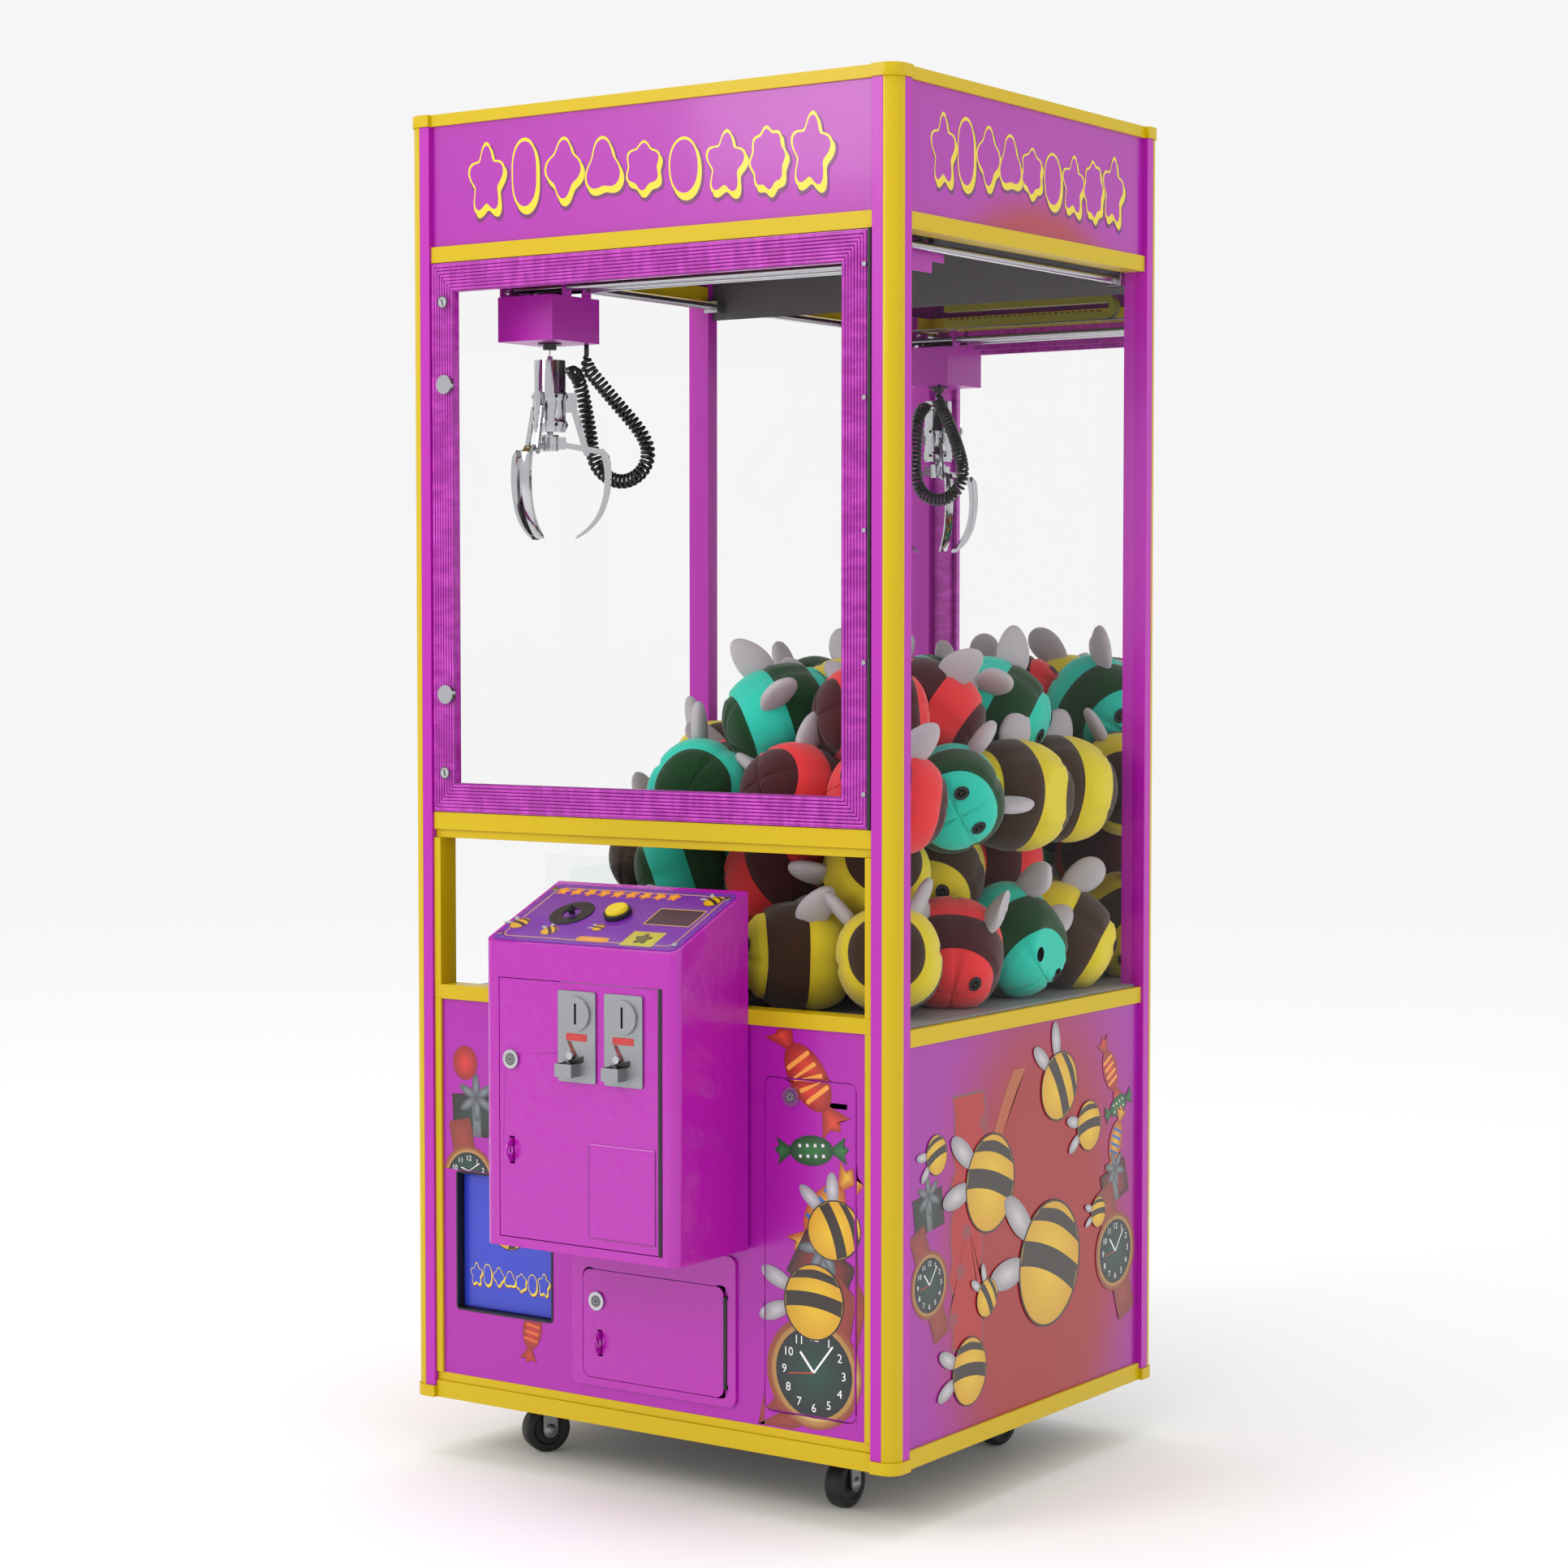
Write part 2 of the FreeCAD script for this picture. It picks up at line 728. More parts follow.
def make_deck():
    """Play-field deck with its chute hole, the sheet chute below it and the clear guard around it."""
    wide = "half_width - glass_recess - glass_wall"
    deck = joined("deck_sheet", [
        block("deck_wide", (f"-({wide})", "front + post_side", "deck_z"), (f"2 * ({wide})", "span_y", "deck_wall")),
        block("deck_back", ("-inner_x", "back - post_side - 1", "deck_z"),
              ("span_x", "post_side + 1 - mirror_setback + mirror_wall", "deck_wall")),
    ])
    length_x = "(chute_left - chute_right)"
    length_y = "(chute_back - chute_front)"
    hole = block("deck_hole", ("-chute_left", "front + chute_front", "deck_z - 1"),
                 (length_x, length_y, "deck_wall + 2"))
    keep(less("deck", deck, hole), "prize_deck")
    foot = "base + flap_level"
    outer = block("chute_outer", ("-chute_left", "front + chute_front", foot),
                  (length_x, length_y, f"deck_z - ({foot})"))
    inner = block("chute_inner", ("-chute_left + chute_wall", "front + chute_front + chute_wall", foot),
                  (f"{length_x} - 2 * chute_wall", f"{length_y} - 2 * chute_wall", "deck_z"))
    mouth = block("chute_mouth", ("-chute_left + chute_wall", "front", foot),
                  (f"{length_x} - 2 * chute_wall", "chute_front + 2 * chute_wall", "flap_height"))
    ramp = prism("chute_ramp", [
        ("front + chute_front", foot),
        ("front + chute_back - chute_wall", foot),
        ("front + chute_back - chute_wall", f"{foot} + chute_ramp_rise"),
        ("front + chute_front", f"{foot} + chute_wall"),
    ], f"{length_x} - 2 * chute_wall", "-chute_left + chute_wall")
    keep(joined("chute", [less("chute_walls", outer, inner, mouth), ramp]), "prize_chute")
    keep(joined("guard", [
        block("guard_side", ("-chute_right", "front + chute_front", "deck_top"),
              ("guard_wall", f"{length_y} + guard_wall", "guard_height")),
        block("guard_back", ("-chute_left", "front + chute_back", "deck_top"),
              (f"{length_x} + guard_wall", "guard_wall", "guard_height")),
    ]), "chute_guard")


def make_prize_flap():
    """Black frame of the prize opening and the flap that hangs in it from a pin."""
    length = "(flap_left - flap_right)"
    low = "base + flap_level"
    outer = rounded_plate("frame_outer", ("-flap_left", "panel_y - 1", low),
                          (length, "flap_frame_depth", "flap_height"), "flap_corner")
    inner = block("frame_inner", ("-flap_left + flap_rim", "front", f"{low} + flap_rim"),
                  (f"{length} - 2 * flap_rim", "3 * flap_frame_depth", "flap_height - 2 * flap_rim"))
    keep(less("frame_of_flap", outer, inner), "flap_frame")
    inside = "flap_rim + flap_slack"
    pin_z = f"{low} + flap_height - flap_rim - flap_slack - flap_pin_radius"
    keep(joined("flap", [
        block("flap_sheet", (f"-flap_left + {inside}", "panel_y + flap_sink - flap_wall / 2", f"{low} + {inside}"),
              (f"{length} - 2 * ({inside})", "flap_wall",
               "flap_height - 2 * flap_rim - 2 * flap_slack - flap_pin_radius")),
        rod("flap_pin", ("-flap_left + flap_rim + button_slack", "panel_y + flap_sink", pin_z),
            "flap_pin_radius", f"{length} - 2 * flap_rim - 2 * button_slack", "X"),
    ]), "prize_flap")


def make_window_door():
    """Framed door over the play field, its pane, its two quarter-turn locks and the screws of its hinge."""
    width = "(door_right_x - (door_left_x))"
    low = "door_z + door_gap"
    tall = "(door_height - 2 * door_gap)"
    outer = block("door_outer", ("door_left_x", "door_front", low), (width, "door_wall", tall))
    opening = block("door_opening", ("door_left_x + door_frame_width", "front - door_wall",
                                     f"{low} + door_frame_width"),
                    (f"{width} - 2 * door_frame_width", "3 * door_wall", f"{tall} - 2 * door_frame_width"))
    edge = "(door_frame_width - pane_rebate)"
    rebate = block("door_rebate", (f"door_left_x + {edge}", "door_front + door_wall / 2", f"{low} + {edge}"),
                   (f"{width} - 2 * {edge}", "door_wall", f"{tall} - 2 * {edge}"))
    keep(less("door_frame", outer, opening, rebate), "window_frame")
    inset = f"({edge} + pane_slack)"
    keep(block("door_pane", (f"door_left_x + {inset}", "door_front + door_wall / 2 + pane_slack",
                             f"{low} + {inset}"),
               (f"{width} - 2 * {inset}", "pane_wall", f"{tall} - 2 * {inset}")), "window_glass")
    locks = []
    for name, up in (("high", "door_lock_high"), ("low", "door_lock_low")):
        locks.append(rod(f"door_lock_{name}", ("door_left_x + door_lock_inset", "door_front - door_lock_proud",
                                               f"door_z + {up}"),
                         "door_lock_radius", "door_lock_proud", "Y"))
    screws = []
    count = SIZES["hinge_screw_count"]
    for number in range(count):
        step = f"(door_height - 2 * hinge_screw_end) * {number} / {count - 1}"
        screws.append(rod(
            f"hinge_screw_{number}",
            ("door_right_x - hinge_screw_inset", "door_front - hinge_screw_height", f"door_z + hinge_screw_end + {step}"),
            "hinge_screw_radius", "hinge_screw_height", "Y"))
    together("window_locks", locks + screws)


def hinge(name, x, y, z, height):
    """Black piano hinge: a flat strip with its knuckle standing proud along the middle."""
    return joined(name, [
        block(f"{name}_leaf", (x, y, z), ("hinge_width", "coin_door_wall", height)),
        rod(f"{name}_knuckle", (f"{x} + hinge_width / 2", y, z), "hinge_knuckle", height),
    ])


def make_hinges():
    """Hinges of the window door, the coin door and the cash door."""
    together("hinge_strips", [
        joined("window_hinge", [
            hinge("window_hinge_strip", "inner_x - hinge_width - door_gap", "door_front", "door_z + door_gap",
                  "door_height - 2 * door_gap"),
            block("window_hinge_flange", ("inner_x - door_gap - coin_door_wall", "door_front", "door_z + door_gap"),
                  ("door_gap + coin_door_wall", "door_wall", "door_height - 2 * door_gap")),
        ]),
        hinge("coin_hinge", "coin_door_right", "box_front", "base + coin_door_level", "coin_door_height"),
        hinge("cash_hinge", "cash_right", "panel_y - surround_wall", "base + cash_level + cash_corner",
              "cash_height - 2 * cash_corner"),
    ])


def box_form(name, shrink):
    """Outer form of the control box, moved inwards by the shrink: sloping profile crossed with a round-cornered plan."""
    reach = f"(trim_recess + {shrink})"
    back = f"front + {reach}"
    fall = f"({shrink} * slope_length / slope_run)"
    profile = prism(f"{name}_profile", [
        (back, f"base + box_level + {shrink}"),
        (f"box_front + {shrink}", f"base + box_level + {shrink}"),
        (f"box_front + {shrink}", f"base + box_front_level - {fall} + {shrink} * slope_rise / slope_run"),
        (back, f"base + box_back_level - {fall} + {reach} * slope_rise / slope_run"),
    ], "box_left + box_right", "-box_left")
    width = f"box_left + box_right - 2 * {shrink}"
    corner = f"(box_corner - {shrink})"
    plan = joined(f"{name}_plan", [
        block(f"{name}_deep", ("-box_left + box_corner", f"box_front + {shrink}", "base"),
              ("box_left + box_right - 2 * box_corner", "2 * box_depth", "cabinet_height")),
        block(f"{name}_wide", (f"-box_left + {shrink}", "box_front + box_corner", "base"),
              (width, "2 * box_depth", "cabinet_height")),
        rod(f"{name}_round_left", ("-box_left + box_corner", "box_front + box_corner", "base"), corner,
            "cabinet_height"),
        rod(f"{name}_round_right", ("box_right - box_corner", "box_front + box_corner", "base"), corner,
            "cabinet_height"),
    ])
    form = doc.addObject("Part::Common", name)
    form.Base = profile
    form.Tool = plan
    return form


def staple(name, x, y, z):
    """Half-round padlock staple standing out of a slot, with its shackle hole."""
    half = less(f"{name}_half", rod(f"{name}_disc", (f"{x} - staple_wall / 2", y, z), "staple_radius",
                                    "staple_wall", "X"),
                rod(f"{name}_eye", (f"{x} - staple_wall", f"{y} - staple_radius / 2", z), "staple_hole",
                    "2 * staple_wall", "X"))
    return half


def make_control_box():
    """Sheet-metal control box in front of the cabinet, open to the back, with its padlock staple."""
    shell = less("box_shell", box_form("box_outer", "0"), box_form("box_inner", "box_wall"))
    opening = block("coin_opening", ("-coin_door_left - door_gap", "box_front - 1",
                                     "base + coin_door_level - door_gap"),
                    ("coin_door_left + coin_door_right + hinge_width + door_gap", "box_corner",
                     "coin_door_height + 2 * door_gap"))
    holes = []
    for name, x, up, radius in (
        ("stick_hole", "joystick_x", "joystick_up", "panel_hole_radius"),
        ("button_hole", "button_x", "button_up", "button_radius + 2 * button_slack"),
    ):
        hole = rod(name, (x, up, "-6 * box_wall"), radius, "9 * box_wall")
        holes.append(lay_on_slope(together_tool(name, hole)))
    keep(less("box_cuts", shell, opening, *holes), "control_box")


def together_tool(name, piece):
    """Wraps a tool so that it can be turned with the slope."""
    wrap = doc.addObject("Part::Compound", name + "_on_slope")
    wrap.Links = [piece]
    return wrap


def make_panel_overlay():
    """Printed overlay on the slope, with holes for the stick and the button."""
    left = "-box_left + overlay_margin"
    plate = rounded_plate("overlay_plate", (left, "overlay_margin", "0"),
                          ("box_left + box_right - 2 * overlay_margin", "slope_length - 2 * overlay_margin",
                           "overlay_wall"), "overlay_corner", "Z")
    stick = rod("overlay_stick_hole", ("joystick_x", "joystick_up", "-1"), "panel_hole_radius", "4 * overlay_wall")
    button = rod("overlay_button_hole", ("button_x", "button_up", "-1"), "button_radius + 2 * button_slack",
                 "4 * overlay_wall")
    lay_on_slope(keep(less("overlay_cuts", plate, stick, button), "control_overlay"))


def make_panel_fittings():
    """Dust disc and switch housing of the joystick, and the collar of the drop button."""
    disc = less("dust_disc", rod("disc_plate", ("joystick_x", "joystick_up", "overlay_wall"), "dust_disc_radius",
                                 "dust_disc_wall"),
                rod("disc_hole", ("joystick_x", "joystick_up", "0"), "panel_hole_radius", "button_height"))
    collar = less("collar", joined("collar_form", [
        rod("collar_ring", ("button_x", "button_up", "overlay_wall"), "collar_radius", "collar_height"),
    ] + [rod("collar_neck", ("button_x", "button_up", "-button_depth"), "button_radius + 2 * button_slack",
             "button_depth + 2 * overlay_wall")]),
        rod("collar_hole", ("button_x", "button_up", "-2 * button_depth"), "button_radius - 1.5 * button_slack",
            "4 * button_depth"))
    side = "housing_side"
    housing = less("housing", block("housing_case", (f"joystick_x - {side} / 2", f"joystick_up - {side} / 2",
                                                     "-box_wall - housing_depth"),
                                    (side, side, "housing_depth")),
                   block("housing_hollow", (f"joystick_x - {side} / 2 + housing_wall",
                                            f"joystick_up - {side} / 2 + housing_wall", "-2 * housing_depth"),
                         (f"{side} - 2 * housing_wall", f"{side} - 2 * housing_wall", "3 * housing_depth")))
    lay_on_slope(together("panel_fittings", [disc, collar, housing]))


def make_joystick():
    """Joystick on a gimbal: the frame turns about the panel's X, the stick in it about the panel's Y."""
    level = "-pivot_depth"
    side = "gimbal_side"
    frame = less("gimbal_frame", block("gimbal_block", (f"joystick_x - {side} / 2", f"joystick_up - {side} / 2",
                                                        f"{level} - gimbal_height / 2"),
                                       (side, side, "gimbal_height")),
                 block("gimbal_hollow", (f"joystick_x - {side} / 2 + gimbal_wall",
                                         f"joystick_up - {side} / 2 + gimbal_wall", f"{level} - gimbal_height"),
                       (f"{side} - 2 * gimbal_wall", f"{side} - 2 * gimbal_wall", "2 * gimbal_height")))
    reach = "housing_side / 2 - housing_wall - pivot_gap"
    pins = [
        rod("gimbal_pin_left", (f"joystick_x - ({reach})", "joystick_up", level), "pin_radius",
            f"{reach} - gimbal_side / 2 + 1", "X"),
        rod("gimbal_pin_right", ("joystick_x + gimbal_side / 2 - 1", "joystick_up", level), "pin_radius",
            f"{reach} - gimbal_side / 2 + 1", "X"),
    ]
    lay_on_slope(keep(joined("gimbal", [frame] + pins), "joystick_gimbal"))
    inner = "gimbal_side / 2 - gimbal_wall - pivot_gap"
    stick = joined("stick", [
        rod("stick_shaft", ("joystick_x", "joystick_up", "-stick_below"), "stick_radius",
            "stick_below + stick_above"),
        rod("stick_hub", ("joystick_x", "joystick_up", "overlay_wall + dust_disc_wall + hub_height"), "hub_radius",
            "hub_height"),
        rod("stick_pin", ("joystick_x", f"joystick_up - ({inner})", level), "pin_radius", f"2 * ({inner})", "Y"),
    ])
    lay_on_slope(keep(stick, "joystick"))


def make_button():
    """Drop button: a round cap that slides in its collar."""
    cap = joined("button_cap", [
        rod("button_stem", ("button_x", "button_up", "-button_depth / 2"), "button_radius - 2.5 * button_slack",
            "button_depth / 2 + button_height - 2"),
        rod("button_top", ("button_x", "button_up", "button_height - 3"), "button_radius - 3", "3"),
    ])
    lay_on_slope(keep(cap, "drop_button"))


def make_screws():
    """Dome screws at the corners of the overlay."""
    screws = []
    left = "-box_left + screw_inset_side"
    right = "box_right - screw_inset_side"
    for number, (x, up) in enumerate((
        (left, "screw_inset_front"), (right, "screw_inset_front"),
        (left, "slope_length - screw_inset_back"), (right, "slope_length - screw_inset_back"),
    )):
        screws.append(rod(f"overlay_screw_{number}", (x, up, "overlay_wall"), "screw_radius", "screw_height"))
    on_slope = doc.addObject("Part::Compound", "overlay_screws")
    on_slope.Links = screws
    lay_on_slope(on_slope)
    together("panel_screws", [on_slope])


def barrel_lock(label, x, face_y, z):
    """Barrel lock: round face, barrel through the leaf and the cam behind it."""
    keep(joined(label + "_form", [
        rod(label + "_face", (x, f"{face_y} - lock_face_wall", z), "lock_face_radius", "lock_face_wall", "Y"),
        rod(label + "_barrel", (x, face_y, z), "lock_radius", "lock_length", "Y"),
        block(label + "_cam", (f"{x} - cam_length + cam_width / 2", f"{face_y} + lock_length", f"{z} - cam_width / 2"),
              ("cam_length", "cam_wall", "cam_width")),
    ]), label)


def make_coin_door():
    """Coin door with its cast plates, coin mechanisms, lock, reject buttons and pressed cover."""
    low = "base + coin_door_level"
    leaf = block("coin_leaf", ("-coin_door_left", "box_front", low),
                 ("coin_door_left + coin_door_right - hinge_gap", "coin_door_wall", "coin_door_height"))
    cover = block("coin_cover", ("cover_left", "box_front - cover_wall", "base + cover_level"),
                  ("cover_right - cover_left", "cover_wall", "cover_height"))
    lock_hole = rod("coin_lock_hole", ("coin_lock_x", "box_front - 1", "base + coin_lock_level"),
                    "lock_radius + lock_slack", "4 * coin_door_wall", "Y")
    slot = block("staple_slot", ("staple_x - staple_slot_width / 2", "box_front - 1",
                                 "base + staple_level - staple_radius - 2"),
                 ("staple_slot_width", "4 * coin_door_wall", "2 * staple_radius + 4"))
    cuts = [lock_hole, slot]
    plates = []
    mechs = []
    for side, x in (("left", "plate_one_x"), ("right", "plate_two_x")):
        z = "base + plate_level"
        plate_y = "box_front - plate_wall"
        plate = joined(f"plate_form_{side}", [
            rounded_plate(f"plate_{side}", (x, plate_y, z), ("plate_width", "plate_wall", "plate_height"), "3"),
            rod(f"plate_disc_{side}", (f"{x} + plate_width / 2", f"{plate_y} - plate_wall", f"{z} + plate_disc_up"),
                "plate_disc_radius", "plate_wall", "Y"),
            block(f"plate_cup_{side}", (f"{x} + plate_width / 8", "box_front - box_nose", f"{z} + cup_up"),
                  ("cup_width", "box_nose - plate_wall", "cup_height")),
        ])
        slot_cut = block(f"coin_slot_{side}", (f"{x} + plate_width / 2 - slot_width / 2", "box_front - box_nose",
                                               f"{z} + plate_disc_up - slot_height / 2"),
                         ("slot_width", "2 * box_nose", "slot_height"))
        cup_cut = block(f"cup_hollow_{side}", (f"{x} + plate_width / 8 + cup_wall", "box_front - box_nose + cup_wall",
                                               f"{z} + cup_up + cup_wall"),
                        ("cup_width - 2 * cup_wall", "box_nose - cup_wall - 1", "cup_height"))
        pin_cut = rod(f"reject_hole_{side}", (f"{x} + reject_right", "box_front - box_nose", f"{z} + reject_up"),
                      "reject_radius + reject_slack", "2 * box_nose", "Y")
        plates.append(less(f"plate_cuts_{side}", plate, slot_cut, cup_cut, pin_cut))
        mech = block(f"mech_case_{side}", (f"{x} + (plate_width - mech_width) / 2", "box_front + coin_door_wall",
                                           f"{z} + (plate_height - mech_height) / 2"),
                     ("mech_width", "mech_depth", "mech_height"))
        mechs.append(less(f"mech_{side}", mech, slot_cut, pin_cut))
        cuts += [slot_cut, pin_cut]
        keep(rod(f"reject_{side}", (f"{x} + reject_right", "box_front - reject_proud", f"{z} + reject_up"),
                 "reject_radius", "reject_proud + 2 * coin_door_wall", "Y"), f"reject_button_{side}")
    keep(less("coin_leaf_cuts", joined("coin_leaf_form", [leaf, cover]), *cuts), "coin_door")
    together("coin_plates", plates)
    together("coin_validators", mechs)
    barrel_lock("coin_lock", "coin_lock_x", "box_front", "base + coin_lock_level")


def make_cash_door():
    """Raised surround on the front panel with the cash door, its lock and both padlock staples."""
    face = "panel_y - surround_wall"
    surround = rounded_plate("surround_plate", ("-surround_left", face, "base + surround_level"),
                             ("surround_left + surround_right", "surround_wall", "surround_height"),
                             "surround_corner")
    hole = rounded_plate("surround_hole", ("-cash_left", "front - surround_wall", "base + cash_level - door_gap"),
                         ("cash_left + cash_right + hinge_width", "4 * panel_recess", "cash_height + 2 * door_gap"),
                         "cash_corner + door_gap")
    together("cash_surround", [
        less("surround", surround, hole),
        joined("cash_staple_form", [
            staple("cash_staple", "cash_staple_x", f"{face} + coin_door_wall", "base + cash_staple_level"),
            block("cash_staple_arm", ("-cash_left - staple_radius", "panel_y + sheet_wall",
                                      "base + cash_staple_level - staple_radius / 2"),
                  ("cash_left + staple_radius + cash_staple_x + staple_wall / 2", "staple_wall",
                   "staple_radius")),
        ]),
        joined("coin_staple_form", [
            staple("coin_staple", "staple_x", "box_front + coin_door_wall", "base + staple_level"),
            block("coin_staple_arm", ("-box_left + box_wall", "box_front + staple_radius",
                                      "base + staple_level - staple_radius / 2"),
                  ("box_left - box_wall + staple_x + staple_wall / 2", "staple_wall", "staple_radius")),
        ]),
    ])
    leaf = rounded_plate("cash_leaf", ("-cash_left + door_gap", face, "base + cash_level"),
                         ("cash_left + cash_right - door_gap - hinge_gap", "coin_door_wall", "cash_height"),
                         "cash_corner")
    lock_hole = rod("cash_lock_hole", ("cash_lock_x", f"{face} - 1", "base + cash_lock_level"),
                    "lock_radius + lock_slack", "4 * coin_door_wall", "Y")
    slot = block("cash_staple_slot", ("cash_staple_x - staple_slot_width / 2", f"{face} - 1",
                                      "base + cash_staple_level - staple_radius - 2"),
                 ("staple_slot_width", "4 * coin_door_wall", "2 * staple_radius + 4"))
    keep(less("cash_leaf_cuts", leaf, lock_hole, slot), "cash_door")
    barrel_lock("cash_lock", "cash_lock_x", face, "base + cash_lock_level")


def make_access_door():
    """Tall access door beside the cash door, with its lock near the top and a thin knuckle along its right edge."""
    inset = "door_gap"
    leaf = rounded_plate("access_leaf", (f"access_left + {inset}", "panel_y", f"base + access_level + {inset}"),
                         (f"access_width - {inset} - hinge_gap", "sheet_wall", f"access_height - 2 * {inset}"),
                         "access_corner")
    lock_hole = rod("access_lock_hole", ("access_lock_x", "panel_y - 1", "base + access_lock_level"),
                    "lock_radius + lock_slack", "4 * coin_door_wall", "Y")
    slot = block("access_slot", ("access_slot_left", "panel_y - 1", "base + access_slot_level"),
                 ("access_slot_width", "4 * coin_door_wall", "access_slot_height"))
    knuckle = rod("access_knuckle_rod",
                  ("access_left + access_width - hinge_gap - access_knuckle_inset",
                   "panel_y - access_knuckle_proud", "base + access_level + door_gap + access_corner"),
                  "access_knuckle", "access_height - 2 * door_gap - 2 * access_corner")
    keep(joined("access_leaf_and_knuckle", [less("access_cuts", leaf, lock_hole, slot), knuckle]), "access_door")
    barrel_lock("access_lock", "access_lock_x", "panel_y", "base + access_lock_level")


def make_gantry_rails():
    """Chrome side rails, each held in a bracket on the inner face of a post at either end."""
    pieces = []
    z = "base + side_rail_height_level"
    for side, x, low_x in (("left", "-side_rail_x", "-inner_x"), ("right", "side_rail_x",
                                                                 "side_rail_x - bracket_wall - side_rail_radius")):
        length = "(inner_x - side_rail_x + bracket_wall + side_rail_radius)"
        start = "front + post_side - bracket_length / 2"
        finish = "back - mirror_setback - 1"
        bar = rod(f"rail_{side}", (x, start, z), "side_rail_radius", f"{finish} - ({start})", "Y")
        feet = [
            block(f"bracket_front_{side}", (low_x, start, f"{z} - bracket_height / 2"),
                  (length, "bracket_length", "bracket_height")),
            block(f"bracket_back_{side}", (low_x, f"{finish} - bracket_length", f"{z} - bracket_height / 2"),
                  (length, "bracket_length", "bracket_height")),
        ]
        pieces.append(joined(f"rail_set_{side}", [bar] + feet))
    together("gantry_rails", pieces)


def make_bridge():
    """Bridge: two cross rails between end carriages that roll on the side rails."""
    pieces = []
    for name, offset in (("ahead", "-cross_rail_spread"), ("behind", "cross_rail_spread")):
        pieces.append(rod(f"cross_{name}", ("-carriage_x", f"claw_y + {offset}", "base + cross_rail_level"),
                          "cross_rail_radius", "2 * carriage_x", "X"))
    for side, low_x, pin_x in (
        ("left", "-carriage_x - carriage_wall", "-side_rail_x - roller_width / 2"),
        ("right", "carriage_x", "carriage_x + carriage_wall / 2"),
    ):
        pieces.append(block(f"carriage_{side}", (low_x, "claw_y - carriage_half", "base + carriage_low"),
                            ("carriage_wall", "2 * carriage_half", "carriage_high - carriage_low")))
        z = "base + side_rail_height_level + side_rail_radius + roller_gap + roller_radius"
        for name, offset in (("ahead", "-roller_spread"), ("behind", "roller_spread")):
            y = f"claw_y + {offset}"
            pieces.append(rod(f"pin_{side}_{name}", (pin_x, y, z), "roller_pin_radius",
                              "side_rail_x + roller_width / 2 - carriage_x - carriage_wall / 2", "X"))
            roller_x = "-side_rail_x" if side == "left" else "side_rail_x"
            pieces.append(rod(f"roller_{side}_{name}", (f"{roller_x} - roller_width / 2", y, z), "roller_radius",
                              "roller_width", "X"))
        pieces.append(block(f"shelf_tab_{side}", (low_x, "claw_y", "base + cross_rail_level + cross_rail_radius"),
                            ("carriage_wall", "chain_behind", "chain_low - cross_rail_level - cross_rail_radius")))
    pieces.append(block("chain_shelf", ("-carriage_x", "claw_y + chain_behind - chain_width",
                                        "base + chain_low - shelf_wall"),
                        ("2 * carriage_x", "chain_width", "shelf_wall")))
    keep(joined("bridge", pieces), "bridge_frame")


